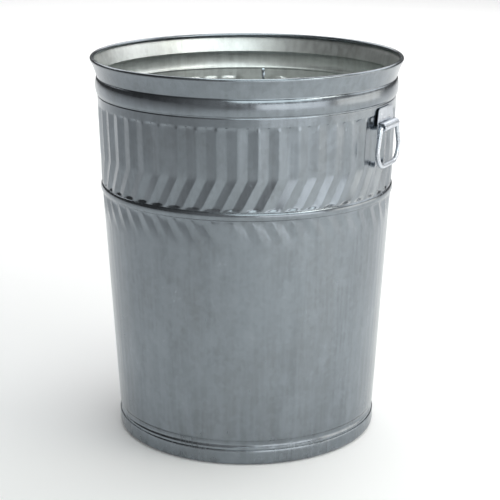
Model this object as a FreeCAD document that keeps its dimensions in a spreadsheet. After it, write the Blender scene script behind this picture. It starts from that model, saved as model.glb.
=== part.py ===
import FreeCAD, Part
import math
import os
import re
import Sketcher

# Galvanized steel trash can, open top, two bail handles.
# Frame: millimetres, +Z up, floor at z = 0, can axis on Z, handles on +X and -X.
# Wall sizes are taken on the outer skin of the sheet.

os.makedirs("parts", exist_ok=True)
doc = FreeCAD.newDocument("TrashCan")
sheet = doc.addObject("Spreadsheet::Sheet", "Sizes")

DRIVING = [
    # overall
    ("overall_height", 686.0),
    ("rim_width", 555.0),
    ("sheet_gauge", 0.6),
    ("fit_gap", 0.3),
    # tapered wall: width at the floor, and how far waist bead and shoulder lie inside the rim
    ("base_width", 466.7),
    ("waist_inset", 17.6),
    ("shoulder_inset", 11.73),
    ("waist_share", 0.66166),
    ("shoulder_drop", 64.5),
    # rim rolled inward round a wire, flare, top ring and shoulder crease
    ("rim_bead_size", 7.4),
    ("neck_inset", 11.7),
    ("ring_drop", 49.5),
    ("ring_tall", 29.0),
    ("ring_proud", 3.4),
    ("crease_tall", 2.4),
    ("crease_deep", 0.35),
    # waist bead
    ("bead_tall", 14.6),
    ("bead_proud", 3.2),
    # flutes: upright above, slanted into a chevron on both sides of the bead
    ("flute_count", 48),
    ("flute_turn", 1.8),
    ("ridge_proud", 0.6),
    ("valley_deep", 2.4),
    ("flute_drop", 81.0),
    ("flute_slant_rise", 62.1),
    ("chevron_fall", 59.9),
    ("chevron_fade", 42.0),
    ("end_ramp", 7.5),
    ("scallop_rise", 2.0),
    ("end_step", 0.18),
    ("slant_rate", 0.112),
    # side seam
    ("seam_turn", 110.6),
    ("seam_width", 9.0),
    ("seam_proud", 1.2),
    ("seam_clear", 2.2),
    # foot: crimp, hoop and pan
    ("crimp_level", 40.0),
    ("crimp_tall", 14.0),
    ("crimp_deep", 2.2),
    ("hoop_tall", 29.0),
    ("hoop_gauge", 1.2),
    ("hoop_round", 10.3),
    ("hoop_flange", 4.0),
    ("pan_level", 16.0),
    ("pan_gauge", 0.7),
    ("pan_corner", 4.0),
    ("pan_skirt", 7.6),
    ("pan_dish", 2.5),
    # handle brackets
    ("plate_gauge", 2.0),
    ("plate_drop", 71.0),
    ("plate_width", 66.0),
    ("plate_top_width", 56.0),
    ("plate_shoulder", 20.0),
    ("barrel_drop", 31.0),
    ("barrel_size", 15.6),
    ("barrel_length", 60.0),
    ("dimple_size", 4.2),
    ("dimple_deep", 0.8),
    # bails
    ("bail_wire", 8.0),
    ("bail_drop", 67.0),
    ("bail_width", 92.0),
    ("bail_neck", 72.6),
    ("bail_bend", 6.0),
    ("bail_corner", 27.0),
    ("bail_end_gap", 2.0),
]

DERIVED = [
    ("waist_width", "rim_width - 2 * waist_inset"),
    ("shoulder_width", "rim_width - 2 * shoulder_inset"),
    ("neck_width", "rim_width - 2 * neck_inset"),
    ("waist_level", "overall_height * waist_share"),
    ("shoulder_level", "overall_height - shoulder_drop"),
    ("ring_level", "overall_height - ring_drop"),
    ("flute_top", "overall_height - flute_drop"),
    ("flute_break", "waist_level + flute_slant_rise"),
    ("chevron_foot", "waist_level - chevron_fall"),
    ("plate_top", "overall_height - plate_drop"),
    ("barrel_level", "plate_top - barrel_drop"),
    ("lower_slope", "(waist_width - base_width) / 2 / waist_level"),
    ("upper_slope", "(shoulder_width - waist_width) / 2 / (shoulder_level - waist_level)"),
    ("flute_foot", "waist_level + bead_tall / 2"),
    ("chevron_top", "waist_level - bead_tall / 2"),
    ("curl_out", "rim_bead_size / 2"),
    ("curl_in", "curl_out - sheet_gauge"),
    ("curl_mid", "rim_width / 2 - curl_out"),
    ("curl_level", "overall_height - curl_out"),
    ("rim_wire_round", "curl_in * cos(30 deg) - fit_gap"),
    ("crimp_foot", "crimp_level - crimp_tall / 2"),
    ("crimp_head", "crimp_level + crimp_tall / 2"),
    ("seat_radius", "base_width / 2 + lower_slope * crimp_foot"),
    ("hoop_in", "seat_radius + fit_gap"),
    ("hoop_out", "hoop_in + hoop_gauge"),
    ("hoop_mid", "hoop_out - hoop_round"),
    ("wall_foot", "hoop_round + 0.2"),
    ("pan_radius", "seat_radius - sheet_gauge - fit_gap"),
    ("plate_in", "waist_width / 2 + upper_slope * (plate_top - waist_level) + ridge_proud + fit_gap"),
    ("plate_out", "plate_in + plate_gauge"),
    ("barrel_out", "barrel_size / 2"),
    ("barrel_in", "barrel_out - plate_gauge"),
    ("barrel_mid", "plate_in + barrel_out"),
    ("bail_round", "bail_wire / 2"),
    ("bail_level", "barrel_level - barrel_in + bail_round + fit_gap"),
    ("neck_mid", "bail_neck / 2 - bail_bend"),
    ("grip_mid", "bail_width / 2 - bail_corner"),
    ("leg_drop", "bail_drop - bail_bend - bail_corner"),
    ("leg_reach", "sqrt((grip_mid - neck_mid) ^ 2 + leg_drop ^ 2)"),
    ("leg_turn", "acos((bail_bend - bail_corner) / leg_reach) + atan2(0 - leg_drop; grip_mid - neck_mid)"),
]

WORDS = {name for name, _ in DRIVING + DERIVED}


def bound(expr):
    """Point the size words of an expression at the sheet."""
    return re.sub(r"[a-z_]+", lambda m: "Sizes." + m.group() if m.group() in WORDS else m.group(), str(expr))


for row, (name, value) in enumerate(DRIVING + DERIVED, start=1):
    cell = "B%d" % row
    sheet.set("A%d" % row, name)
    sheet.set(cell, str(value) if row <= len(DRIVING) else "=" + str(value))
    sheet.setAlias(cell, name)
doc.recompute()


def size(expr):
    """Value of an expression of sheet sizes."""
    result = sheet.evalExpression(bound(expr))
    return float(getattr(result, "Value", result))


def lower_wall(level):
    return "(base_width / 2 + lower_slope * (%s))" % level


def upper_wall(level):
    return "(waist_width / 2 + upper_slope * ((%s) - waist_level))" % level


def inner(radius):
    return "(%s - sheet_gauge)" % radius


# ---- sketch helpers --------------------------------------------------------

def new_body(name):
    body = doc.addObject("PartDesign::Body", name)
    body.Label = name
    return body


def new_sketch(body, name, plane, offset=None):
    sketch = body.newObject("Sketcher::SketchObject", name)
    support = [f for f in body.Origin.OriginFeatures if f.Role == plane][0]
    sketch.AttachmentSupport = [(support, "")]
    sketch.MapMode = "FlatFace"
    if offset is not None:
        sketch.setExpression("AttachmentOffset.Base.z", bound(offset))
    doc.recompute()
    return sketch


def pin(sketch, index, end, across, up):
    """Hold one end of an edge at sheet-driven coordinates."""
    for kind, expr in (("DistanceX", across), ("DistanceY", up)):
        number = sketch.addConstraint(Sketcher.Constraint(kind, -1, 1, index, end, size(expr)))
        sketch.setExpression("Constraints[%d]" % number, bound(expr))


def hold(sketch, kind, index, expr):
    number = sketch.addConstraint(Sketcher.Constraint(kind, index, size(expr)))
    sketch.setExpression("Constraints[%d]" % number, bound(expr))


def arc_between(start, end, radius, side):
    """Minor arc; side is +1 when its centre lies left of the way from start to end."""
    chord = end - start
    half = chord.Length / 2
    left = FreeCAD.Vector(-chord.y, chord.x, 0).normalize()
    centre = start + chord * 0.5 + left * (side * math.sqrt(max(radius ** 2 - half ** 2, 0)))
    first, last = (start, end) if side > 0 else (end, start)
    turn = [math.atan2(p.y - centre.y, p.x - centre.x) for p in (first, last)]
    if turn[1] < turn[0]:
        turn[1] += 2 * math.pi
    circle = Part.Circle(centre, FreeCAD.Vector(0, 0, 1), radius)
    return Part.ArcOfCircle(circle, turn[0], turn[1])


def closed_outline(sketch, corners, arcs=None):
    """Closed outline through corners (across, up); arcs gives (radius, side) by edge number."""
    arcs = arcs or {}
    points = [FreeCAD.Vector(size(a), size(u), 0) for a, u in corners]
    count = len(points)
    ends = []
    for i in range(count):
        start, end = points[i], points[(i + 1) % count]
        if i in arcs:
            radius, side = arcs[i]
            index = sketch.addGeometry(arc_between(start, end, size(radius), side), False)
            ends.append((index, 1 if side > 0 else 2, 2 if side > 0 else 1))
        else:
            index = sketch.addGeometry(Part.LineSegment(start, end), False)
            ends.append((index, 1, 2))
    for i in range(count):
        index, first, last = ends[i]
        after = ends[(i + 1) % count]
        sketch.addConstraint(Sketcher.Constraint("Coincident", index, last, after[0], after[1]))
        pin(sketch, index, first, *corners[i])
    for i, (radius, side) in arcs.items():
        hold(sketch, "Radius", ends[i][0], radius)


def round_hole(sketch, across, up, radius):
    circle = Part.Circle(FreeCAD.Vector(size(across), size(up), 0), FreeCAD.Vector(0, 0, 1), size(radius))
    index = sketch.addGeometry(circle, False)
    pin(sketch, index, 3, across, up)
    hold(sketch, "Radius", index, radius)


def turned_body(name, corners):
    """Ring-shaped body: an outline in the XZ plane turned about Z."""
    body = new_body(name)
    sketch = new_sketch(body, name + "_section", "XZ_Plane")
    closed_outline(sketch, corners)
    turned = body.newObject("PartDesign::Revolution", name + "_turned")
    turned.Profile = sketch
    turned.ReferenceAxis = (sketch, ["V_Axis"])
    turned.Angle = 360
    sketch.Visibility = False
    doc.recompute()
    return body


# ---- body shell: smooth wall bands -----------------------------------------

def round_run(across, up, radius, turns):
    """Corners round a centre at the given turns in degrees, as expressions."""
    return [("%s + %s * cos(%g deg)" % (across, radius, t), "%s + %s * sin(%g deg)" % (up, radius, t))
            for t in turns]


def bulge(wall, level, tall, proud, steps):
    """Corners of a rounded bead standing proud of the wall, from its lower to its upper foot."""
    corners = []
    for step in range(steps + 1):
        turn = 180.0 * step / steps
        up = "%s - %s / 2 * cos(%g deg)" % (level, tall, turn)
        corners.append(("%s + %s * sin(%g deg)" % (wall(up), proud, turn), up))
    return corners


def sheet_band(name, skin, back=None):
    """Sheet-metal band: the outer skin going up, then the inner skin coming back down."""
    return turned_body(name, list(skin) + [(inner(r), z) for r, z in reversed(back or skin)])


def waist_wall(level):
    """The wall follows the lower cone up to the waist bead and the upper cone above it."""
    return upper_wall(level) if size(level) > size("waist_level") else lower_wall(level)


foot_band = sheet_band(
    "foot_band",
    [("seat_radius", "wall_foot")]
    + bulge(lower_wall, "crimp_level", "crimp_tall", "(0 - crimp_deep)", 2))

waist_band = sheet_band("waist_band", bulge(waist_wall, "waist_level", "bead_tall", "bead_proud", 4))


def shoulder_wall(level):
    """Nearly upright wall from the shoulder crease up to the neck."""
    return "(shoulder_width / 2 + (neck_width - shoulder_width) / 2 * (%s - shoulder_level) / 24)" % level


CURL_JOIN = -35


def flare(step, steps):
    """Corner of the bell-shaped flare between the neck and the rim curl."""
    share = step / steps
    spread = 0.84 * share + 0.16 * share ** 4
    neck = "neck_width / 2"
    foot = "(ring_level + ring_tall / 2)"
    lip = "(curl_mid + curl_out * cos(%g deg))" % CURL_JOIN
    head = "(curl_level + curl_out * sin(%g deg))" % CURL_JOIN
    return ("%s + (%s - %s) * %.5f" % (neck, lip, neck, spread), "%s + (%s - %s) * %g" % (foot, head, foot, share))


def top_band_section():
    """Shoulder, crease, ring, flare and the open curl that holds the rim wire."""
    start = [(upper_wall("flute_top"), "flute_top")]
    crease = [
        (upper_wall("shoulder_level - crease_tall"), "shoulder_level - crease_tall"),
        (upper_wall("shoulder_level - crease_tall / 2") + " - crease_deep", "shoulder_level - crease_tall / 2"),
        (upper_wall("shoulder_level"), "shoulder_level"),
    ]
    ring = bulge(shoulder_wall, "ring_level", "ring_tall", "ring_proud", 4)
    bell = [flare(step, 4) for step in (1, 2, 3)]
    curl_turns = [CURL_JOIN, 0, 45, 90, 135, 180, 240]
    outside = round_run("curl_mid", "curl_level", "curl_out", curl_turns)
    inside = round_run("curl_mid", "curl_level", "curl_in", reversed(curl_turns))
    back = [(inner(r), z) for r, z in reversed(start + ring + bell)]
    return start + crease + ring + bell + outside + inside + back


top_band = turned_body("top_band", top_band_section())


# ---- body shell: fluted wall -----------------------------------------------
# Every half pitch is one facet between a ridge crease and a valley crease. A crease runs
# upright, breaks at flute_break and slants; below the bead the slant is mirrored. Under the
# chevron the creases run on down the lower wall as faint flats.

PITCHES = int(size("flute_count"))
HALF_PITCH = 180.0 / PITCHES
GAUGE = size("sheet_gauge")


def wall_radius(level):
    expr = upper_wall(level) if level >= size("waist_level") else lower_wall(level)
    return size(expr)


def near_seam(turns):
    """True when a crease comes too close to the seam anywhere on its way."""
    seam = size("seam_turn")
    offsets = [(turn - seam + 180.0) % 360.0 - 180.0 for turn in turns]
    clear = size("seam_clear")
    return min(offsets) < clear and max(offsets) > -clear


def crease_turns(rows, start, number):
    return [start + number * HALF_PITCH + row[1] for row in rows]


def crease_grid(rows, start, inset):
    """Corner points of the facets: one list per level, one point per crease."""
    grid = [[] for _ in rows]
    for number in range(2 * PITCHES):
        turns = crease_turns(rows, start, number)
        depth = 0.0 if near_seam(turns) else 1.0
        ridge = number % 2 == 0
        lift = size("ridge_proud") if ridge else -size("valley_deep")
        for i, (level, shift, share, stagger) in enumerate(rows):
            up = level - stagger if ridge else level + stagger
            foot = wall_radius(level) - size("end_step") if share == 0 else wall_radius(up)
            radius = foot - inset + lift * share * depth
            angle = math.radians(turns[i])
            grid[i].append(FreeCAD.Vector(radius * math.cos(angle), radius * math.sin(angle), up))
    return grid


def flat_face(*points):
    return Part.Face(Part.makePolygon(list(points) + [points[0]]))


def facet_faces(low_a, low_b, high_a, high_b):
    """One flat face for a cell, or two along its shorter diagonal where the corners are not in one plane."""
    normal = (low_b - low_a).cross(high_a - low_a).normalize()
    if abs(normal.dot(high_b - low_a)) < 1e-6:
        return [flat_face(low_a, low_b, high_b, high_a)]
    if (high_b - low_a).Length < (high_a - low_b).Length:
        return [flat_face(low_a, low_b, high_b), flat_face(low_a, high_b, high_a)]
    return [flat_face(low_a, low_b, high_a), flat_face(low_b, high_b, high_a)]


def fluted_band(rows, start):
    """Closed solid of the fluted sheet between its two flat ends."""
    faces = []
    end_wires = []
    for inset in (0.0, GAUGE):
        grid = crease_grid(rows, start, inset)
        for lower, upper in zip(grid, grid[1:]):
            for j in range(len(lower)):
                after = (j + 1) % len(lower)
                faces += facet_faces(lower[j], lower[after], upper[j], upper[after])
        end_wires.append([Part.makePolygon(ring + ring[:1]) for ring in (grid[0], grid[-1])])
    for end in (0, 1):
        faces.append(Part.makeFace([end_wires[0][end], end_wires[1][end]], "Part::FaceMakerBullseye"))
    shell = Part.Shell(faces)
    shell.sewShape()
    solid = Part.Solid(shell)
    if solid.Volume < 0:
        solid.reverse()
    return solid


def chevron_rows():
    """Both fluted bands, going up: (level, turn against the band's start, depth share, stagger)."""
    rate = size("slant_rate")
    ramp = size("end_ramp")
    fade = size("chevron_fade")
    foot, bend, top = size("flute_foot"), size("flute_break"), size("flute_top")
    low, high = size("chevron_foot"), size("chevron_top")
    upper = [
        (foot, -rate * (bend - foot), 0, 0),
        (foot + ramp, -rate * (bend - foot - ramp), 1, 0),
        (bend, 0.0, 1, 0),
        (top - ramp, 0.0, 1, size("scallop_rise")),
        (top, 0.0, 0, 0),
    ]
    lower = [
        (size("crimp_head"), rate * (high - low), 0, 0),
        (low, rate * (high - low), 0, 0),
        (low + fade, rate * (high - low - fade), 1, 0),
        (high - ramp, rate * ramp, 1, 0),
        (high, 0.0, 0, 0),
    ]
    return upper, lower


upper_rows, lower_rows = chevron_rows()
upper_start = size("flute_turn")
lower_start = upper_start + HALF_PITCH + upper_rows[0][1]

upper_flutes = doc.addObject("Part::Feature", "upper_flutes")
upper_flutes.Shape = fluted_band(upper_rows, upper_start)
lower_flutes = doc.addObject("Part::Feature", "lower_flutes")
lower_flutes.Shape = fluted_band(lower_rows, lower_start)


# ---- body shell: side seam and union ---------------------------------------

seam_strip = turned_body("seam_strip", [
    ("%s - sheet_gauge / 2" % lower_wall("crimp_head"), "crimp_head"),
    ("%s + seam_proud" % lower_wall("crimp_head"), "crimp_head"),
    ("%s + seam_proud" % lower_wall("waist_level"), "waist_level"),
    ("shoulder_width / 2 + seam_proud", "shoulder_level"),
    ("shoulder_width / 2 - sheet_gauge / 2", "shoulder_level"),
    ("%s - sheet_gauge / 2" % lower_wall("waist_level"), "waist_level"),
])
seam_arc = seam_strip.Tip
seam_arc.Midplane = True
seam_arc.setExpression("Angle", bound("seam_width / (waist_width / 2) * 57.29578"))
seam_strip.Placement = FreeCAD.Placement(
    FreeCAD.Vector(0, 0, 0), FreeCAD.Rotation(FreeCAD.Vector(0, 0, 1), size("seam_turn")))

body_shell = doc.addObject("Part::MultiFuse", "body_shell")
body_shell.Label = "body_shell"
body_shell.Shapes = [foot_band, lower_flutes, waist_band, upper_flutes, top_band, seam_strip]
doc.recompute()


# ---- rim wire --------------------------------------------------------------

rim_wire = turned_body(
    "rim_wire", round_run("curl_mid", "curl_level", "rim_wire_round", range(0, 360, 60)))


# ---- bottom hoop and pan ---------------------------------------------------

def hoop_section():
    """Band round the foot, rolled under into a flat flange that stands on the floor."""
    heel = "hoop_mid - hoop_flange"
    inside = round_run("hoop_mid", "hoop_round", "(hoop_round - hoop_gauge)", (0, -45, -90))
    outside = round_run("hoop_mid", "hoop_round", "hoop_round", (-90, -45, 0))
    return ([("hoop_in", "hoop_tall")] + inside + [(heel, "hoop_gauge"), (heel, "0")]
            + outside + [("hoop_out", "hoop_tall")])


bottom_hoop = turned_body("bottom_hoop", hoop_section())


def pan_section():
    """Raised floor sheet, dished in the middle, with a skirt turned down inside the wall."""
    low = "pan_level - pan_gauge"
    skirt_foot = "pan_level - pan_skirt"
    dish = "pan_radius * 0.84"
    dish_edge = "pan_radius * 0.86"
    return [
        ("0", "pan_level - pan_dish"),
        ("0", "%s - pan_dish" % low),
        (dish, "%s - pan_dish" % low),
        (dish_edge, low),
        ("pan_radius - pan_corner", low),
        ("pan_radius - pan_gauge", "pan_level - pan_corner"),
        ("pan_radius - pan_gauge", skirt_foot),
        ("pan_radius", skirt_foot),
        ("pan_radius", "pan_level - pan_corner"),
        ("pan_radius - pan_corner", "pan_level"),
        (dish_edge, "pan_level"),
        (dish, "pan_level - pan_dish"),
    ]


bottom_pan = turned_body("bottom_pan", pan_section())


# ---- handles ---------------------------------------------------------------

def bracket_section():
    """Flat plate whose lower edge rolls outward into the barrel of the bail."""
    corners = [
        ("plate_in", "plate_top"),
        ("plate_in", "barrel_level"),
        ("barrel_mid", "barrel_level - barrel_out"),
        ("barrel_mid + barrel_out", "barrel_level"),
        ("barrel_mid", "barrel_level + barrel_out"),
        ("barrel_mid - barrel_out / 2", "barrel_level + barrel_out * 0.8660254"),
        ("barrel_mid - barrel_in / 2", "barrel_level + barrel_in * 0.8660254"),
        ("barrel_mid", "barrel_level + barrel_in"),
        ("barrel_mid + barrel_in", "barrel_level"),
        ("barrel_mid", "barrel_level - barrel_in"),
        ("plate_out", "barrel_level"),
        ("plate_out", "plate_top"),
    ]
    arcs = {}
    for i in (1, 2, 3, 4):
        arcs[i] = ("barrel_out", 1)
    for i in (6, 7, 8, 9):
        arcs[i] = ("barrel_in", -1)
    return corners, arcs


def plate_corner(side):
    """Triangle cut off one upper corner of the plate."""
    half = "%d * plate_width / 2" % side
    top_half = "%d * plate_top_width / 2" % side
    return [
        (top_half, "plate_top"),
        ("%d * (plate_width / 2 + 2)" % side, "plate_top"),
        ("%d * (plate_width / 2 + 2)" % side, "plate_top - plate_shoulder"),
        (half, "plate_top - plate_shoulder"),
    ]


def barrel_trim(side):
    """Piece cut off one end so that the barrel is shorter than the plate."""
    return [
        ("%d * barrel_length / 2" % side, "barrel_level + barrel_out + 1"),
        ("%d * (plate_width / 2 + 2)" % side, "barrel_level + barrel_out + 1"),
        ("%d * (plate_width / 2 + 2)" % side, "barrel_level - barrel_out - 1"),
        ("%d * barrel_length / 2" % side, "barrel_level - barrel_out - 1"),
    ]


DIMPLES = [("-20", "plate_top - 9.5"), ("-7", "plate_top - 17.5"), ("16", "plate_top - 17.5")]


def handle_bracket(name):
    body = new_body(name)
    section = new_sketch(body, name + "_section", "XZ_Plane")
    closed_outline(section, *bracket_section())
    pad = body.newObject("PartDesign::Pad", name + "_plate")
    pad.Profile = section
    pad.setExpression("Length", bound("plate_width"))
    pad.Midplane = True
    doc.recompute()
    trims = new_sketch(body, name + "_trims", "YZ_Plane", "plate_in - 1")
    for side in (-1, 1):
        closed_outline(trims, plate_corner(side))
        closed_outline(trims, barrel_trim(side))
    cut = body.newObject("PartDesign::Pocket", name + "_trimmed")
    cut.Profile = trims
    cut.Reversed = True
    cut.setExpression("Length", bound("barrel_size + 4"))
    doc.recompute()
    spots = new_sketch(body, name + "_spots", "YZ_Plane", "plate_out")
    for across, up in DIMPLES:
        round_hole(spots, across, up, "dimple_size / 2")
    dent = body.newObject("PartDesign::Pocket", name + "_dimples")
    dent.Profile = spots
    dent.setExpression("Length", bound("dimple_deep"))
    doc.recompute()
    return body


def bail_side(side):
    """Bends of one side of the loop, from the pivot down to the grip: bend, leg and corner."""
    corners = [("%d * bail_end_gap / 2" % side, "bail_level")]
    for step in range(3):
        turn = "(90 deg + (leg_turn - 90 deg) * %g / 2)" % step
        corners.append(("%d * (neck_mid + bail_bend * cos(%s))" % (side, turn),
                        "bail_level - bail_bend + bail_bend * sin(%s)" % turn))
    for step in range(5):
        turn = "(leg_turn - (leg_turn + 90 deg) * %g / 4)" % step
        corners.append(("%d * (grip_mid + bail_corner * cos(%s))" % (side, turn),
                        "bail_level - bail_drop + bail_corner + bail_corner * sin(%s)" % turn))
    return corners


def bail_path(sketch):
    """Open loop whose two ends meet inside the barrel."""
    corners = bail_side(1) + list(reversed(bail_side(-1)))
    points = [FreeCAD.Vector(size(a), size(u), 0) for a, u in corners]
    for i in range(len(points) - 1):
        sketch.addGeometry(Part.LineSegment(points[i], points[i + 1]), False)
        if i:
            sketch.addConstraint(Sketcher.Constraint("Coincident", i - 1, 2, i, 1))
        pin(sketch, i, 1, *corners[i])
    pin(sketch, len(points) - 2, 2, *corners[-1])


def handle_bail(name):
    body = new_body(name)
    path = new_sketch(body, name + "_path", "YZ_Plane", "barrel_mid")
    bail_path(path)
    wire = new_sketch(body, name + "_wire", "XZ_Plane", "-bail_end_gap / 2")
    round_hole(wire, "barrel_mid", "bail_level", "bail_round")
    pipe = body.newObject("PartDesign::AdditivePipe", name + "_bent")
    pipe.Profile = wire
    pipe.Spine = path
    pipe.Transition = "Right corner"
    doc.recompute()
    return body


HALF_TURN = FreeCAD.Placement(FreeCAD.Vector(0, 0, 0), FreeCAD.Rotation(FreeCAD.Vector(0, 0, 1), 180))
handles = []
for side_name in ("right", "left"):
    for piece in (handle_bracket("handle_bracket_" + side_name), handle_bail("handle_bail_" + side_name)):
        if side_name == "left":
            piece.Placement = HALF_TURN
        handles.append(piece)
doc.recompute()


# ---- checks and export -----------------------------------------------------

for item in doc.Objects:
    if "Invalid" in item.State or "Error" in item.State:
        raise RuntimeError("%s does not compute: %s" % (item.Name, item.State))

for node in [body_shell, rim_wire, bottom_hoop, bottom_pan] + handles:
    shape = node.Shape
    if shape.isNull() or not shape.isValid() or shape.Volume <= 0:
        raise RuntimeError("%s has no valid solid" % node.Label)
    if len(shape.Solids) != 1:
        raise RuntimeError("%s is in %d solids" % (node.Label, len(shape.Solids)))
    shape.exportStep(os.path.join("parts", node.Label + ".step"))
    box = shape.BoundBox
    print("%s volume %.0f z %.2f to %.2f x %.2f to %.2f" % (
        node.Label, shape.Volume, box.ZMin, box.ZMax, box.XMin, box.XMax))
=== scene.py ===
import math

import bpy
import numpy as np
from mathutils import Matrix, Vector


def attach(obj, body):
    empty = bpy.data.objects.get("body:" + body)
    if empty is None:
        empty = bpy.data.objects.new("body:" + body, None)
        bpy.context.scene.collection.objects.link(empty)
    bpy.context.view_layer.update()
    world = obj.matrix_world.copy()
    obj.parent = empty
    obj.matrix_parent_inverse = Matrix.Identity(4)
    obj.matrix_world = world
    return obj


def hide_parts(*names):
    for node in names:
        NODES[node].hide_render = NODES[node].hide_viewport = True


# Galvanized steel trash can in a plain pale studio.
# Sizes below are in millimetres and repeat the driving dimensions of the part; meshes are in metres.

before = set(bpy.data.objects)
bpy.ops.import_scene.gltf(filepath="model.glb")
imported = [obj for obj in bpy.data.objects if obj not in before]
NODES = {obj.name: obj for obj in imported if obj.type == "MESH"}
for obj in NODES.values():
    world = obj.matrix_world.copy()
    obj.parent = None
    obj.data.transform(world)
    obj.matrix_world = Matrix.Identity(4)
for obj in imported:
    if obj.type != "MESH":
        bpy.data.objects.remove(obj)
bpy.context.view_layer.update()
MM = 0.001

# ---- driving sizes ---------------------------------------------------------

HEIGHT = 686.0
RIM_WIDTH = 555.0
GAUGE = 0.6
GAP = 0.3
BASE_R, WAIST_R, SHOULDER_R = 466.7 / 2, 519.8 / 2, 531.54 / 2
WAIST_Z, SHOULDER_Z = 453.9, 621.5
NECK_R, NECK_RISE, NECK_BOW = 531.6 / 2, 24.0, 0.16
RING_Z, RING_TALL, RING_PROUD, RING_POWER = 636.5, 29.0, 3.4, 1.0
CREASE_TALL, CREASE_DEEP = 2.4, 0.35
BEAD_TALL, BEAD_PROUD, BEAD_POWER = 14.6, 3.2, 1.15
CURL_R = 7.4 / 2
CURL_JOIN, CURL_END = -35.0, 240.0
CURL_MID, CURL_Z = RIM_WIDTH / 2 - CURL_R, HEIGHT - CURL_R

FLUTES = 48
FLUTE_TURN = 1.8
HALF_PITCH = 180.0 / FLUTES
RIDGE, VALLEY = 0.6, 2.4
FLUTE_TOP, FLUTE_BREAK = 605.0, 516.0
FLUTE_FOOT, CHEVRON_TOP = WAIST_Z + BEAD_TALL / 2, WAIST_Z - BEAD_TALL / 2
CHEVRON_FOOT, CHEVRON_FADE = 394.0, 42.0
END_RAMP, SCALLOP = 6.0, 2.0
SLANT = 0.112

SEAM_TURN, SEAM_WIDTH, SEAM_PROUD, SEAM_CLEAR = 110.6, 9.0, 1.2, 2.2

LOWER_SLOPE = (WAIST_R - BASE_R) / WAIST_Z
UPPER_SLOPE = (SHOULDER_R - WAIST_R) / (SHOULDER_Z - WAIST_Z)
CRIMP_Z, CRIMP_TALL, CRIMP_DEEP, CRIMP_POWER = 40.0, 14.0, 2.2, 2.2
SEAT_R = BASE_R + LOWER_SLOPE * (CRIMP_Z - CRIMP_TALL / 2)
HOOP_TALL, HOOP_GAUGE, HOOP_ROUND, HOOP_FLANGE = 29.0, 1.2, 10.3, 4.0
PAN_Z, PAN_GAUGE, PAN_CORNER, PAN_SKIRT, PAN_DISH = 16.0, 0.7, 4.0, 7.6, 2.5
PAN_R = SEAT_R - GAUGE - GAP
# The pan's dish rises between these shares of its radius.
PAN_RISE_FROM, PAN_RISE_TO = 0.84, 0.86

PLATE_GAUGE, PLATE_TOP, PLATE_WIDTH, PLATE_TOP_WIDTH, PLATE_SHOULDER = 2.0, 615.0, 66.0, 56.0, 20.0
BARREL_Z, BARREL_R, BARREL_LENGTH = 584.0, 15.6 / 2, 60.0
PLATE_IN = WAIST_R + UPPER_SLOPE * (PLATE_TOP - WAIST_Z) + RIDGE + GAP
BARREL_MID = PLATE_IN + BARREL_R
DIMPLE_R, DIMPLE_DEEP, DIMPLE_FLAT, DIMPLE_SLOPE = 2.6, 1.2, 0.35, 0.8
# Middle of each dimple in the plate: across, and down from the plate's top.
DIMPLES = [(-20.0, -9.5), (-7.0, -17.5), (16.0, -17.5)]
WIRE_R, WIRE_SIDES = 4.0, 24
BAIL_DROP, BAIL_WIDTH, BAIL_NECK, BAIL_BEND, BAIL_CORNER = 67.0, 92.0, 72.6, 6.0, 27.0
BAIL_Z = BARREL_Z - (BARREL_R - PLATE_GAUGE) + WIRE_R + GAP
BAIL_END_GAP = 2.0

# The camera stands this many degrees round from the right handle, seen from above.
CAMERA_TURN = -62.3


# ---- mesh helpers ----------------------------------------------------------

def grid_object(name, rows, body, closed_rows=False, caps=False):
    """Quad mesh from rows of points in millimetres: rows is an array (rows, columns, 3), each row a ring."""
    rows = np.asarray(rows, dtype=float)
    count, width = rows.shape[:2]
    index = np.arange(count * width).reshape(count, width)
    lower = index if closed_rows else index[:-1]
    upper = np.roll(index, -1, axis=0) if closed_rows else index[1:]
    quads = np.stack([lower, np.roll(lower, -1, 1), np.roll(upper, -1, 1), upper], axis=-1)
    faces = quads.reshape(-1, 4).tolist()
    if caps:
        faces.append(index[0][::-1].tolist())
        faces.append(index[-1].tolist())
    mesh = bpy.data.meshes.new(name)
    mesh.from_pydata((rows.reshape(-1, 3) * MM).tolist(), [], faces)
    mesh.validate()
    mesh.update()
    mesh.shade_smooth()
    obj = bpy.data.objects.new(name, mesh)
    bpy.context.scene.collection.objects.link(obj)
    outward(obj)
    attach(obj, body)
    return obj


def outward(obj):
    """Turn the faces so that the closed mesh has a positive volume."""
    mesh = obj.data
    points = np.empty(len(mesh.vertices) * 3)
    mesh.vertices.foreach_get("co", points)
    points = points.reshape(-1, 3)
    mesh.calc_loop_triangles()
    tris = np.empty(len(mesh.loop_triangles) * 3, dtype=np.int64)
    mesh.loop_triangles.foreach_get("vertices", tris)
    a, b, c = (points[tris.reshape(-1, 3)[:, k]] for k in range(3))
    if np.einsum("ij,ij->i", a, np.cross(b, c)).sum() < 0:
        mesh.flip_normals()


def smooth_step(x):
    """Ease from 0 at 0 to 1 at 1, flat at both ends."""
    x = np.clip(x, 0.0, 1.0)
    return x * x * (3 - 2 * x)


LATHE_COLUMNS = 288


def lathe(name, outline, body):
    """Closed outline (radius, height) turned about Z."""
    turns = np.radians(np.arange(LATHE_COLUMNS) * 360.0 / LATHE_COLUMNS)
    rows = []
    for radius, level in outline:
        ring = [radius * np.cos(turns), radius * np.sin(turns), np.full(LATHE_COLUMNS, level)]
        rows.append(np.stack(ring, axis=1))
    return grid_object(name, rows, body, closed_rows=True)


def arc_points(centre, radius, start, end, steps):
    return [(centre[0] + radius * math.cos(math.radians(t)), centre[1] + radius * math.sin(math.radians(t)))
            for t in np.linspace(start, end, steps + 1)]


# ---- body shell ------------------------------------------------------------
# One closed sheet: the outer skin goes up, rolls inward at the rim, and the inner skin comes back.

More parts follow.
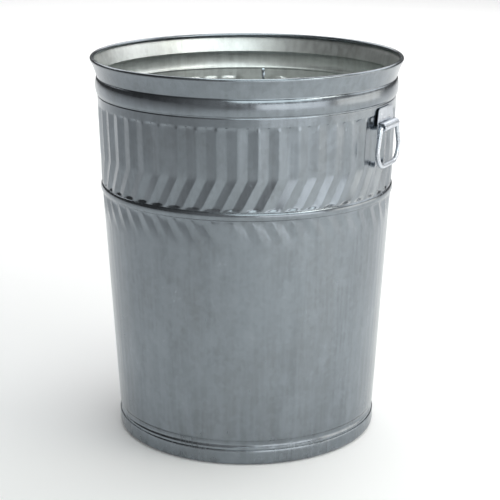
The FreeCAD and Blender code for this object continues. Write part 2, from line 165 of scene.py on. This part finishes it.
# Shares of a facet's width that have a column, and how far each gives way to its neighbours round a crease.
SUB = [0.0, 0.035, 0.08, 0.16, 0.36, 0.64, 0.84, 0.92, 0.965]
SUB_ROUND = [1.0, 0.8, 0.25, 0, 0, 0, 0, 0.25, 0.8]
ROUND_PASSES, ROUND_RATE = 3, 0.6
COLUMNS = 2 * FLUTES * len(SUB)

# Rows that end a flute, as shares of its ramp. Its facets lie flat where the share is over RAMP_FLAT.
RAMP = [0.0, 0.12, 0.3, 0.5, 0.7, 0.88, 1.0]
RAMP_FLAT = 0.2
SCALLOP_RATE = 1.2
CHEVRON_LINEAR = 0.35
# Rows of each stretch of the wall, and the gaps that keep a stretch off its neighbours.
PLAIN_ROWS, FADE_ROWS, SLANT_ROWS, UPRIGHT_ROWS = 22, 14, 9, 12
ROW_GAP, TOP_GAP, BREAK_BELOW, BREAK_ABOVE = 4.0, 6.0, 2.0, 1.5
FOOT_ROWS, CRIMP_ROWS, BEAD_ROWS, CREASE_ROWS, RING_ROWS, NECK_ROWS = 5, 14, 14, 7, 20, 14
FOOT_CLEAR = 0.2
LAND_LEVELS = (608.5, 612.0, 615.0, 617.5)

# Out-of-roundness: (size, waves in a turn, phase, drift with height) and the levels between which it fades.
DENTS = [(0.16, 3, 0.6, 0.004), (0.11, 7, -1.1, 0.009), (0.07, 13, 2.0, -0.013),
         (0.05, 23, 0.0, 0.021), (0.03, 41, 1.0, 0.034)]
DENT_FOOT, DENT_FOOT_FADE, DENT_TOP, DENT_TOP_FADE = 60.0, 60.0, 598.0, 30.0


def wall_radius(level):
    if level >= WAIST_Z:
        return WAIST_R + UPPER_SLOPE * (level - WAIST_Z)
    return BASE_R + LOWER_SLOPE * level


def crease_shift(level):
    """How far the creases have turned at a level, in degrees."""
    full = -SLANT * (FLUTE_BREAK - FLUTE_FOOT)
    if level >= FLUTE_BREAK:
        return 0.0
    if level >= FLUTE_FOOT:
        return -SLANT * (FLUTE_BREAK - level)
    if level >= CHEVRON_TOP:
        return full
    return full + SLANT * (CHEVRON_TOP - max(level, CHEVRON_FOOT))


def seam_free(number, low, high):
    """1 where a crease keeps clear of the seam, else 0."""
    turns = [FLUTE_TURN + number * HALF_PITCH + crease_shift(z) for z in (low, (low + high) / 2, high)]
    offsets = [(t - SEAM_TURN + 180.0) % 360.0 - 180.0 for t in turns]
    return 0.0 if min(offsets) < SEAM_CLEAR and max(offsets) > -SEAM_CLEAR else 1.0


UPPER_FREE = np.array([seam_free(n, FLUTE_FOOT, FLUTE_TOP) for n in range(2 * FLUTES)])
LOWER_FREE = np.array([seam_free(n, CHEVRON_FOOT, CHEVRON_TOP) for n in range(2 * FLUTES)])


def dents(turns, level):
    """Faint out-of-roundness of a thin rolled sheet, in millimetres."""
    fade = smooth_step((level - DENT_FOOT) / DENT_FOOT_FADE) * smooth_step((DENT_TOP - level) / DENT_TOP_FADE)
    waves = [size * np.sin(count * turns + phase + level * drift) for size, count, phase, drift in DENTS]
    return fade * sum(waves)


def fluted_row(level, share, flat, scallop, inset):
    """One row of the fluted wall: flat facets between creases, rounded a little at each crease."""
    upper = level > WAIST_Z
    number = np.arange(2 * FLUTES)
    ridge = (number % 2 == 0) if upper else (number % 2 == 1)
    free = UPPER_FREE if upper else LOWER_FREE
    up = level + np.where(ridge, -scallop, scallop)
    radius = wall_radius(level) - inset + share * free * np.where(ridge, RIDGE, -VALLEY)
    turns = np.radians(FLUTE_TURN + number * HALF_PITCH + crease_shift(level))
    corner = np.stack([radius * np.cos(turns), radius * np.sin(turns), up], axis=1)
    after = np.roll(corner, -1, axis=0)
    row = np.concatenate([corner[:, None, :] * (1 - f) + after[:, None, :] * f for f in SUB], axis=1)
    row = row.reshape(-1, 3)
    gap_after = np.array([(b - a) for a, b in zip(SUB, SUB[1:] + [1.0])] * (2 * FLUTES))
    gap_before = np.roll(gap_after, 1)
    give = ROUND_RATE * np.tile(SUB_ROUND, 2 * FLUTES)
    for _ in range(ROUND_PASSES):
        left, right = np.roll(row, 1, axis=0), np.roll(row, -1, axis=0)
        mean = (left * gap_after[:, None] + right * gap_before[:, None]) / (gap_before + gap_after)[:, None]
        row = row + (mean - row) * give[:, None]
    angle = np.arctan2(row[:, 1], row[:, 0])
    chord = np.hypot(row[:, 0], row[:, 1]) if flat else wall_radius(level) - inset
    true_r = chord + dents(angle, level)
    return np.stack([true_r * np.cos(angle), true_r * np.sin(angle), row[:, 2]], axis=1)


def plain_row(radius, level, wobble=0.0):
    """One circular row whose columns line up with the creases at its level."""
    fractions = (np.arange(2 * FLUTES)[:, None] + np.array(SUB)[None, :]).reshape(-1)
    turns = np.radians(FLUTE_TURN + fractions * HALF_PITCH + crease_shift(level))
    r = radius + wobble * dents(turns, level)
    return np.stack([r * np.cos(turns), r * np.sin(turns), np.full(COLUMNS, level)], axis=1)


def bulge_rows(wall, level, tall, proud, steps, inset, power):
    """Bead on a wall, or groove where proud is negative; a power over 1 softens its edges."""
    rows = []
    for t in np.linspace(0, math.pi, steps + 1):
        z = level - tall / 2 * math.cos(t)
        rows.append(plain_row(wall(z) + proud * max(math.sin(t), 0.0) ** power - inset, z))
    return rows


def shoulder_wall(level):
    """Radius of the wall over the shoulder, under the ring bead and up to the neck."""
    return SHOULDER_R + (NECK_R - SHOULDER_R) * (level - SHOULDER_Z) / NECK_RISE


def flute_levels():
    """(level, depth share, whether its facets are flat, scallop) of the fluted rows, going up."""
    plain_foot = CRIMP_Z + CRIMP_TALL / 2 + ROW_GAP
    lower = [(z, 0.0, True, 0.0) for z in np.linspace(plain_foot, CHEVRON_FOOT - ROW_GAP, PLAIN_ROWS)]
    for k in np.linspace(0.0, 1.0, FADE_ROWS):
        share = CHEVRON_LINEAR * k + (1 - CHEVRON_LINEAR) * smooth_step(k)
        lower.append((CHEVRON_FOOT + CHEVRON_FADE * k, share, True, 0.0))
    lower += [(CHEVRON_TOP - END_RAMP * k, smooth_step(k), k > RAMP_FLAT, 0.0) for k in reversed(RAMP)]
    upper = [(FLUTE_FOOT + END_RAMP * k, smooth_step(k), k > RAMP_FLAT, 0.0) for k in RAMP]
    slant = np.linspace(FLUTE_FOOT + END_RAMP + ROW_GAP, FLUTE_BREAK - BREAK_BELOW, SLANT_ROWS)
    upright = np.linspace(FLUTE_BREAK + BREAK_ABOVE, FLUTE_TOP - END_RAMP - TOP_GAP, UPRIGHT_ROWS)
    upper += [(z, 1.0, True, 0.0) for z in [*slant, *upright]]
    for k in reversed(RAMP):
        scallop = SCALLOP * smooth_step(k * SCALLOP_RATE)
        upper.append((FLUTE_TOP - END_RAMP * k, smooth_step(k), k > RAMP_FLAT, scallop))
    return lower, upper


def skin(inset):
    """Rows of one skin from the foot to just under the rim curl."""
    lower, upper = flute_levels()
    foot = np.linspace(HOOP_ROUND + FOOT_CLEAR, CRIMP_Z - CRIMP_TALL / 2, FOOT_ROWS)
    rows = [plain_row(SEAT_R - inset, z) for z in foot]
    rows += bulge_rows(wall_radius, CRIMP_Z, CRIMP_TALL, -CRIMP_DEEP, CRIMP_ROWS, inset, CRIMP_POWER)[1:]
    rows += [fluted_row(z, s, f, c, inset) for z, s, f, c in lower]
    rows += bulge_rows(wall_radius, WAIST_Z, BEAD_TALL, BEAD_PROUD, BEAD_ROWS, inset, BEAD_POWER)[1:-1]
    rows += [fluted_row(z, s, f, c, inset) for z, s, f, c in upper]
    rows += [plain_row(wall_radius(z) - inset, z, 1.0) for z in LAND_LEVELS]
    for t in np.linspace(0, math.pi, CREASE_ROWS):
        z = SHOULDER_Z - CREASE_TALL / 2 - CREASE_TALL / 2 * math.cos(t)
        rows.append(plain_row(wall_radius(z) - inset - CREASE_DEEP * math.sin(t), z))
    rows += bulge_rows(shoulder_wall, RING_Z, RING_TALL, RING_PROUD, RING_ROWS, inset, RING_POWER)
    neck_z = RING_Z + RING_TALL / 2
    neck_r = shoulder_wall(neck_z)
    lip_r = CURL_MID + CURL_R * math.cos(math.radians(CURL_JOIN))
    lip_z = CURL_Z + CURL_R * math.sin(math.radians(CURL_JOIN))
    for k in np.linspace(0.0, 1.0, NECK_ROWS)[1:-1]:
        z = neck_z + (lip_z - neck_z) * k
        flare = (1 - NECK_BOW) * k + NECK_BOW * k ** 4
        rows.append(plain_row(neck_r + (lip_r - neck_r) * flare - inset, z))
    return rows


def body_shell():
    outer, inner = skin(0.0), skin(GAUGE)
    centre = (CURL_MID, CURL_Z)
    roll = [plain_row(r, z) for r, z in arc_points(centre, CURL_R, CURL_JOIN, CURL_END, 24)]
    curl = [plain_row(r, z) for r, z in arc_points(centre, CURL_R - GAUGE, CURL_END, CURL_JOIN, 20)]
    rows = outer + roll + curl + inner[::-1]
    shell = grid_object("body_sheet", rows, "can", closed_rows=True)
    inside = np.zeros(len(shell.data.polygons), dtype=np.int32)
    inside[(len(outer) + len(roll)) * COLUMNS:] = 1
    shell.data.polygons.foreach_set("material_index", inside)
    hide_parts("body_shell")
    return shell


def side_seam():
    """Locked vertical seam: a strip standing proud of the wall, outside and a little inside."""
    levels = np.concatenate([np.linspace(CRIMP_Z + CRIMP_TALL / 2, WAIST_Z - 10, 12), [WAIST_Z],
                             np.linspace(WAIST_Z + 10, SHOULDER_Z, 8)])
    half = SEAM_WIDTH / 2
    section = [(-half, -0.5), (-half, 0.7), (-half + 0.5, SEAM_PROUD), (half - 0.9, SEAM_PROUD), (half, 0.5),
               (half, -0.5), (half - 1.5, -GAUGE - 0.1), (half - 3.2, -GAUGE - 0.25),
               (half - 5.0, -GAUGE - 0.1)]
    rows = []
    for z in levels:
        base = wall_radius(z)
        row = []
        for across, proud in section:
            turn = math.radians(SEAM_TURN) + across / base
            row.append(((base + proud) * math.cos(turn), (base + proud) * math.sin(turn), z))
        rows.append(row)
    return grid_object("side_seam", rows, "can", caps=True)


# ---- foot ------------------------------------------------------------------

def bottom_hoop():
    inside_r = SEAT_R + GAP
    outside_r = inside_r + HOOP_GAUGE
    mid = outside_r - HOOP_ROUND
    heel = mid - HOOP_FLANGE
    lip, top_edge, outer_edge = 0.35, 0.3, 0.5
    band_levels = (22.0, 15.0)
    outline = [(inside_r, HOOP_TALL - top_edge)] + [(inside_r, z) for z in band_levels]
    outline += arc_points((mid, HOOP_ROUND), HOOP_ROUND - HOOP_GAUGE, 0, -90, 12)
    outline += [(heel, HOOP_GAUGE), (heel, HOOP_GAUGE / 2), (heel, 0.0)]
    outline += arc_points((mid, HOOP_ROUND), HOOP_ROUND, -90, 0, 16)
    outline += [(outside_r, z) for z in reversed(band_levels)]
    outline += [(outside_r, HOOP_TALL - outer_edge), (outside_r - lip, HOOP_TALL),
                (inside_r + lip, HOOP_TALL)]
    hoop = lathe("foot_hoop", outline, "can")
    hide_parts("bottom_hoop")
    return hoop


def bottom_pan():
    foot = PAN_Z - PAN_SKIRT
    rise_from, rise_to = PAN_R * PAN_RISE_FROM, PAN_R * PAN_RISE_TO
    round_mid = (PAN_R - PAN_CORNER, PAN_Z - PAN_CORNER)

    def sheet(top, inset):
        """One face of the pan from just off its middle to the foot of its skirt."""
        run = [(radius, top - PAN_DISH) for radius in (0.4, PAN_R * 0.2, PAN_R * 0.5)]
        for k in (0.0, 0.2, 0.4, 0.6, 0.8, 1.0):
            run.append((rise_from + (rise_to - rise_from) * k, top - PAN_DISH * (1 - smooth_step(k))))
        run += arc_points(round_mid, PAN_CORNER - inset, 90, 0, 8)
        run.append((PAN_R - inset, foot))
        return run

    upper, lower = sheet(PAN_Z, 0.0), sheet(PAN_Z - PAN_GAUGE, PAN_GAUGE)
    pan = lathe("floor_pan", upper + lower[::-1], "can")
    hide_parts("bottom_pan")
    return pan


# ---- handles ---------------------------------------------------------------

PLATE_ROWS, ROLL_ROWS, PLATE_COLUMNS = 30, 40, 64
PLATE_TOP_CORNER, PLATE_FOOT_CORNER = 5.0, 5.0
PLATE_END_SHARE = 0.7
ROLL_FROM, ROLL_TO = 180.0, 480.0
# The strip's long edges are rounded by rows this far in from the edge and from the face.
EDGE_IN, EDGE_MID, EDGE_NEAR, EDGE_FAR = 0.45, 0.13, 0.45, 1.6


def plate_half(level):
    """Half the plate's width at a level: narrow with round corners at the top, as long as the roll below."""
    half = PLATE_WIDTH / 2
    rise = (level - (PLATE_TOP - PLATE_SHOULDER)) / PLATE_SHOULDER
    if rise > 0:
        half -= (PLATE_WIDTH - PLATE_TOP_WIDTH) / 2 * rise
    near_top = (PLATE_TOP - level) / PLATE_TOP_CORNER
    if near_top < 1:
        half -= PLATE_TOP_CORNER * (1 - math.sqrt(max(0.0, 1 - (1 - near_top) ** 2)))
    drop = smooth_step((BARREL_Z + PLATE_FOOT_CORNER - level) / PLATE_FOOT_CORNER)
    return half * (1 - drop) + BARREL_LENGTH / 2 * drop


def bracket_path():
    """(middle, outward direction, half width) down the plate and round its roll, seen along the barrel."""
    middle = PLATE_IN + PLATE_GAUGE / 2
    path = [((middle, z), (1.0, 0.0), plate_half(z))
            for z in np.linspace(PLATE_TOP - 0.05, BARREL_Z + 0.5, PLATE_ROWS)]
    mid_r = BARREL_R - PLATE_GAUGE / 2
    for a in np.radians(np.linspace(ROLL_FROM, ROLL_TO, ROLL_ROWS)):
        x, z = math.cos(a), math.sin(a)
        path.append(((BARREL_MID + mid_r * x, BARREL_Z + mid_r * z), (-x, -z), BARREL_LENGTH / 2))
    return path


def bracket_section(half, thick):
    """Points (across, out) round the strip's section, which has rounded long edges."""
    flat = np.linspace(-half + EDGE_FAR, half - EDGE_FAR, PLATE_COLUMNS)
    across = [-half, -half + EDGE_MID, -half + EDGE_NEAR, *flat, half - EDGE_NEAR, half - EDGE_MID, half]
    edge = [thick - EDGE_IN, thick - EDGE_MID]
    depth = edge + [thick] * (PLATE_COLUMNS + 2) + edge[::-1]
    front = list(zip(across, depth))
    return front + [(y, -d) for y, d in reversed(front)]


def dimple_depth(across, level):
    """How far the plate's face is pressed in at a point."""
    deep = 0.0
    for at, down in DIMPLES:
        away = math.hypot(across - at, level - PLATE_TOP - down) / DIMPLE_R
        deep += DIMPLE_DEEP * (1 - smooth_step((away - DIMPLE_FLAT) / DIMPLE_SLOPE))
    return deep


def bracket(side, flip):
    """Plate whose lower edge rolls outward into the barrel: a rounded strip swept down and round."""
    path = bracket_path()
    rows = []
    for number, ((x, z), (nx, nz), half) in enumerate(path):
        at_end = number in (0, len(path) - 1)
        thick = PLATE_GAUGE / 2 * (PLATE_END_SHARE if at_end else 1.0)
        row = []
        for y, d in bracket_section(half, thick):
            if number < PLATE_ROWS and d > 0:
                d -= dimple_depth(y, z)
            row.append((x + nx * d, y, z + nz * d))
        rows.append(row)
    rows = np.array(rows)
    rows[:, :, :2] *= flip
    piece = grid_object("bracket_plate_" + side, rows, "can", caps=True)
    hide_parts("handle_bracket_" + side)
    return piece


def bail_route():
    """Centre line (y, z) of the loop from one end inside the barrel to the other."""
    neck_mid, grip_mid = BAIL_NECK / 2 - BAIL_BEND, BAIL_WIDTH / 2 - BAIL_CORNER
    drop = BAIL_DROP - BAIL_BEND - BAIL_CORNER
    reach = math.hypot(grip_mid - neck_mid, drop)
    lean = math.atan2(-drop, grip_mid - neck_mid)
    turn = math.degrees(math.acos((BAIL_BEND - BAIL_CORNER) / reach) + lean)
    side = [(BAIL_END_GAP / 2, BAIL_Z), (neck_mid * 0.5, BAIL_Z)]
    side += arc_points((neck_mid, BAIL_Z - BAIL_BEND), BAIL_BEND, 90, turn, 10)
    side += arc_points((grip_mid, BAIL_Z - BAIL_DROP + BAIL_CORNER), BAIL_CORNER, turn, -90, 22)
    side += [(grip_mid * 0.5, BAIL_Z - BAIL_DROP)]
    return side + [(-y, z) for y, z in reversed(side)]


def bail(side, flip):
    """Wire swept along the loop's centre line, in the plane that hangs under the barrel."""
    route = np.array(bail_route())
    step = np.gradient(route, axis=0)
    step /= np.linalg.norm(step, axis=1)[:, None]
    normal = np.stack([-step[:, 1], step[:, 0]], axis=1)
    turns = np.radians(np.arange(WIRE_SIDES) * 360.0 / WIRE_SIDES)
    rows = []
    for (y, z), (ny, nz) in zip(route, normal):
        rows.append([(BARREL_MID + WIRE_R * math.cos(t), y + ny * WIRE_R * math.sin(t),
                      z + nz * WIRE_R * math.sin(t)) for t in turns])
    rows = np.array(rows)
    rows[:, :, :2] *= flip
    piece = grid_object("bail_loop_" + side, rows, "bail_" + side, caps=True)
    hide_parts("handle_bail_" + side)
    return piece


# ---- materials -------------------------------------------------------------

class Graph:
    """Short way to write a node material."""

    def __init__(self, name):
        self.material = bpy.data.materials.new(name)
        self.material.use_nodes = True
        self.tree = self.material.node_tree
        self.tree.nodes.clear()
        self.output = self.tree.nodes.new("ShaderNodeOutputMaterial")
        self.place = self.tree.nodes.new("ShaderNodeTexCoord").outputs["Object"]

    def node(self, kind, inputs=None, **settings):
        made = self.tree.nodes.new(kind)
        for key, value in settings.items():
            setattr(made, key, value)
        for key, value in (inputs or {}).items():
            if isinstance(value, bpy.types.NodeSocket):
                self.tree.links.new(value, made.inputs[key])
            else:
                made.inputs[key].default_value = value
        return made

    def math(self, operation, a, b=0.0):
        return self.node("ShaderNodeMath", {0: a, 1: b}, operation=operation).outputs[0]

    def noise(self, scale, stretch, detail, rough, turn=(0, 0, 0)):
        mapped = self.node("ShaderNodeMapping", {"Vector": self.place, "Scale": stretch, "Rotation": turn})
        made = self.node("ShaderNodeTexNoise", {"Vector": mapped.outputs[0], "Scale": scale, "Detail": detail,
                                                "Roughness": rough})
        return made.outputs["Fac"]

    def span(self, value, low, high, to_low, to_high, smooth=True):
        """Map a range onto another, clamped."""
        made = self.node("ShaderNodeMapRange", {"Value": value, "From Min": low, "From Max": high,
                                                "To Min": to_low, "To Max": to_high})
        made.interpolation_type = "SMOOTHSTEP" if smooth else "LINEAR"
        return made.outputs[0]


def colour_mix(graph, factor, a, b):
    """Blend colour a into colour b. The mix node's colours are its sockets 6 and 7, and output 2."""
    made = graph.node("ShaderNodeMix", data_type="RGBA")
    for number, value in ((0, factor), (6, a), (7, b)):
        if isinstance(value, bpy.types.NodeSocket):
            graph.tree.links.new(value, made.inputs[number])
        else:
            made.inputs[number].default_value = value
    return made.outputs[2]


# Tints of the zinc: a cool sky on the wall, a neutral inside, bluer fittings.
COOL, NEUTRAL, BLUE = (0.895, 1.0, 1.095), (0.96, 1.0, 0.98), (0.94, 1.0, 1.08)

# Noise layers: scale, stretch along the rolling direction, detail, roughness.
STREAKS = (150, 0.016, 5.0, 0.6)
BANDS = (34, 0.03, 3.0, 0.5)
GRAIN = (1100, 0.12, 2.0, 0.6)
CLOUD = (8, 0.7, 5.0, 0.62)
PATCHES = (26, 0.6, 4.0, 0.6)
DIRT = (45, 0.5, 6.0, 0.65)
SPANGLE_SCALE = 120.0
SCRATCH_WIDTH = 0.0016


def layer(g, kind, rolled=True):
    """One of the noise layers above, drawn out along the wall's height where the sheet is rolled."""
    scale, stretch, detail, rough = kind
    return g.noise(scale, (1, 1, stretch if rolled else 1), detail, rough)


def hairlines(g, scale, stretch, turn):
    """Thin lines where a stretched noise crosses its middle."""
    fold = g.math("ABSOLUTE", g.math("SUBTRACT", g.noise(scale, stretch, 2.0, 0.5, turn), 0.5))
    return g.span(fold, 0.0, SCRATCH_WIDTH, 1.0, 0.0)


def galvanized(name, tone, dull, low_rough, high_rough, streak_up=True, dirt_to=None, tint_of=COOL):
    """Zinc-coated sheet: rolled streaks, spangle, cloudy oxide, hairline scratches and dirt at the foot."""
    g = Graph(name)

    def zinc(value, warm=0.0):
        return (value * (tint_of[0] + warm), value * tint_of[1], value * (tint_of[2] - warm), 1.0)

    streaks, bands, grain = (layer(g, kind, streak_up) for kind in (STREAKS, BANDS, GRAIN))
    cloud, patch = layer(g, CLOUD), layer(g, PATCHES)
    cells = g.node("ShaderNodeTexVoronoi", {"Vector": g.place, "Scale": SPANGLE_SCALE, "Randomness": 1.0})
    spangle = g.node("ShaderNodeSeparateColor", {"Color": cells.outputs["Color"]}).outputs[0]
    lines = g.math("MAXIMUM", hairlines(g, 55, (1, 1, 0.05), (0.25, 0.1, 0.0)),
                   hairlines(g, 65, (0.06, 0.06, 1.4), (0.0, 0.2, 0.3)))
    scratches = g.math("MULTIPLY", lines, g.span(patch, 0.60, 0.70, 0.0, 1.0))

    tint = colour_mix(g, g.span(cloud, 0.38, 0.62, 0.0, 1.0), zinc(tone), zinc(dull, 0.015))
    tint = colour_mix(g, g.span(bands, 0.38, 0.62, 0.0, 0.6), tint, zinc(dull * 0.92))
    tint = colour_mix(g, g.span(patch, 0.48, 0.66, 0.0, 0.45), tint, zinc(tone * 1.22))
    tint = colour_mix(g, g.span(streaks, 0.35, 0.7, 0.0, 0.5), tint, zinc(tone * 1.16))
    tint = colour_mix(g, g.span(spangle, 0.0, 1.0, 0.0, 0.22, False), tint, zinc(tone * 1.4))
    tint = colour_mix(g, g.math("MULTIPLY", scratches, 0.7), tint, zinc(min(tone * 2.3, 0.92)))
    rough = g.span(streaks, 0.3, 0.7, low_rough, high_rough)
    rough = g.math("ADD", rough, g.span(cloud, 0.3, 0.7, -0.03, 0.03))
    rough = g.math("ADD", rough, g.span(spangle, 0.0, 1.0, -0.02, 0.025, False))
    rough = g.math("ADD", rough, g.math("MULTIPLY", scratches, 0.10))
    if dirt_to is not None:
        height = g.node("ShaderNodeSeparateXYZ", {"Vector": g.place}).outputs["Z"]
        low = g.span(height, 0.0, dirt_to, 1.0, 0.0)
        dirt = g.math("MULTIPLY", low, g.span(layer(g, DIRT), 0.48, 0.64, 0.0, 1.0))
        tint = colour_mix(g, g.math("MULTIPLY", dirt, 0.4), tint, zinc(dull * 0.6, 0.04))
        rough = g.math("ADD", rough, g.math("MULTIPLY", dirt, 0.12))
    broad = g.node("ShaderNodeBump", {"Height": g.math("ADD", cloud, g.math("MULTIPLY", bands, 0.25)),
                                      "Strength": 0.22, "Distance": 0.0016})
    fine = g.math("ADD", g.math("MULTIPLY", grain, 0.6), g.math("MULTIPLY", spangle, 0.2))
    bump = g.node("ShaderNodeBump", {"Height": fine, "Strength": 0.16, "Distance": 0.0002,
                                     "Normal": broad.outputs[0]})
    shader = g.node("ShaderNodeBsdfPrincipled", {"Base Color": tint, "Roughness": rough,
                                                 "Normal": bump.outputs[0], "Metallic": 1.0})
    g.tree.links.new(shader.outputs[0], g.output.inputs[0])
    return g.material


def dress(obj, *materials):
    """Give an object its materials and keep the faces' choice among them."""
    choice = [polygon.material_index for polygon in obj.data.polygons]
    obj.data.materials.clear()
    for material in materials:
        obj.data.materials.append(material)
    obj.data.polygons.foreach_set("material_index", choice)


# ---- stage, light and camera -----------------------------------------------

# Distances on the stage are in metres.
FLOOR_HALF = 14.0
PAPER = (0.87, 0.87, 0.87, 1.0)
FLOOR_LIFT = 0.08
# The world is brighter on the side that lies this far round from the camera.
BRIGHT_TURN = 45.0
WORLD_DARK, WORLD_BRIGHT = 0.10, 0.60
BRIGHT_FROM, BRIGHT_TO = -0.6, 0.9
CAN_MIDDLE = (0, 0, 0.35)

# The camera that was fitted to the photo: its place, its angles in degrees and its focal length in pixels.
EYE_AWAY, EYE_HEIGHT = 2.6744, 1.0827
PITCH, YAW, ROLL = 15.82, 0.135, -0.12
FOCAL_PIXELS, PHOTO_PIXELS, SENSOR_WIDTH = 1513.7, 500.0, 36.0


def toward(turn, rise, away):
    """Point seen from the can at a turn to the viewer's right of the camera and a rise, in degrees."""
    a, e = math.radians(CAMERA_TURN + turn), math.radians(rise)
    return Vector((math.cos(a) * math.cos(e), math.sin(a) * math.cos(e), math.sin(e))) * away


def soft_box(name, turn, rise, away, width, height, power, colour=(1, 1, 1), aim=CAN_MIDDLE):
    """Rectangular lamp at a turn, a rise and a distance, turned to shine at aim."""
    light = bpy.data.lights.new(name, "AREA")
    light.shape = "RECTANGLE"
    light.size, light.size_y = width, height
    light.energy = power
    light.color = colour
    lamp = bpy.data.objects.new(name, light)
    lamp.location = toward(turn, rise, away)
    lamp.rotation_euler = (Vector(aim) - lamp.location).to_track_quat("-Z", "Y").to_euler()
    bpy.context.scene.collection.objects.link(lamp)


def studio_floor():
    """Pale paper that takes the shadow; only what is seen, straight or mirrored, is lifted a little."""
    g = Graph("floor_paper")
    path = g.node("ShaderNodeLightPath")
    seen = g.math("MAXIMUM", path.outputs["Is Camera Ray"], path.outputs["Is Glossy Ray"])
    seen = g.math("MAXIMUM", seen, path.outputs["Is Transmission Ray"])
    paper = g.node("ShaderNodeBsdfDiffuse", {"Color": PAPER})
    lift = g.math("MULTIPLY", seen, FLOOR_LIFT)
    glow = g.node("ShaderNodeEmission", {"Color": (1, 1, 1, 1), "Strength": lift})
    both = g.node("ShaderNodeAddShader", {0: paper.outputs[0], 1: glow.outputs[0]})
    g.tree.links.new(both.outputs[0], g.output.inputs[0])
    half = FLOOR_HALF
    corners = [(-half, -half, 0), (half, -half, 0), (half, half, 0), (-half, half, 0)]
    mesh = bpy.data.meshes.new("studio_floor")
    mesh.from_pydata(corners, [], [(0, 1, 2, 3)])
    floor = bpy.data.objects.new("studio_floor", mesh)
    bpy.context.scene.collection.objects.link(floor)
    dress(floor, g.material)


def studio_world():
    """Soft sky that is brighter on one side."""
    world = bpy.data.worlds.new("studio")
    bpy.context.scene.world = world
    world.use_nodes = True
    tree = world.node_tree
    tree.nodes.clear()
    out = tree.nodes.new("ShaderNodeOutputWorld")
    back = tree.nodes.new("ShaderNodeBackground")
    place = tree.nodes.new("ShaderNodeTexCoord")
    side = tree.nodes.new("ShaderNodeVectorMath")
    side.operation = "DOT_PRODUCT"
    side.inputs[1].default_value = toward(BRIGHT_TURN, 0, 1.0)
    tree.links.new(place.outputs["Generated"], side.inputs[0])
    ramp = tree.nodes.new("ShaderNodeMapRange")
    ramp.interpolation_type = "SMOOTHSTEP"
    tree.links.new(side.outputs["Value"], ramp.inputs["Value"])
    ramp.inputs["From Min"].default_value = BRIGHT_FROM
    ramp.inputs["From Max"].default_value = BRIGHT_TO
    ramp.inputs["To Min"].default_value = WORLD_DARK
    ramp.inputs["To Max"].default_value = WORLD_BRIGHT
    tree.links.new(ramp.outputs[0], back.inputs["Strength"])
    tree.links.new(back.outputs[0], out.inputs[0])


def camera():
    made = bpy.data.cameras.new("photo_camera")
    made.sensor_fit = "HORIZONTAL"
    made.sensor_width = SENSOR_WIDTH
    made.lens = FOCAL_PIXELS / PHOTO_PIXELS * SENSOR_WIDTH
    eye = bpy.data.objects.new("photo_camera", made)
    place = toward(0.0, 0.0, EYE_AWAY)
    heading = Matrix.Rotation(math.radians(CAMERA_TURN + 90.0 - YAW), 4, "Z")
    tilt = Matrix.Rotation(math.radians(90.0 - PITCH), 4, "X")
    roll = Matrix.Rotation(math.radians(-ROLL), 4, "Z")
    eye.matrix_world = Matrix.Translation((place.x, place.y, EYE_HEIGHT)) @ (heading @ tilt @ roll)
    bpy.context.scene.collection.objects.link(eye)
    bpy.context.scene.camera = eye


# ---- put together ----------------------------------------------------------

camera()
shell = body_shell()
seam = side_seam()
hoop = bottom_hoop()
pan = bottom_pan()
plates = [bracket("right", 1), bracket("left", -1)]
loops = [bail("right", 1), bail("left", -1)]

WALL = galvanized("wall_zinc", 0.25, 0.225, 0.16, 0.24, dirt_to=0.10)
# The inside is the same zinc sheet as the wall, painted far lighter (tone 0.62 against 0.25): painted light
# that makes the inside look brightly lit.
PAINTED_LIGHT_INSIDE = galvanized("inside_zinc_painted_light", 0.62, 0.56, 0.38, 0.48, tint_of=NEUTRAL)
FOOT = galvanized("foot_zinc", 0.25, 0.22, 0.18, 0.28, dirt_to=0.03)
FLOOR_ZINC = galvanized("floor_zinc", 0.32, 0.27, 0.32, 0.42, streak_up=False)
PLATE = galvanized("plate_zinc", 0.60, 0.52, 0.30, 0.40, tint_of=BLUE)
WIRE = galvanized("wire_zinc", 0.62, 0.54, 0.24, 0.34, streak_up=False, tint_of=BLUE)

dress(shell, WALL, PAINTED_LIGHT_INSIDE)
for obj, material in [(seam, WALL), (hoop, FOOT), (pan, FLOOR_ZINC), (NODES["rim_wire"], WIRE)]:
    dress(obj, material)
for obj in plates:
    dress(obj, PLATE)
for obj in loops:
    dress(obj, WIRE)

studio_floor()
studio_world()
soft_box("top_box", 0, 89, 2.1, 0.9, 0.9, 9, colour=(0.92, 1.0, 0.98))
soft_box("key_box", 22, 40, 2.9, 2.9, 1.4, 24, colour=(0.92, 1.0, 1.0))
soft_box("low_front_box", 33, 8.6, 3.0, 2.9, 0.9, 14)
soft_box("low_right_box", 90, 8.6, 3.0, 2.6, 0.9, 12, colour=(1.0, 0.94, 0.86))
soft_box("right_box", 108, 35, 3.0, 2.0, 1.1, 10)
soft_box("right_floor_box", 60, 48, 2.2, 0.8, 0.8, 11, colour=(1.0, 0.97, 0.88), aim=toward(60, 0, 1.6))
soft_box("back_box", 180, 36, 5.2, 7.0, 6.0, 252, aim=(-2.0, 3.9, 0.0))

bpy.context.scene.view_settings.view_transform = "Standard"
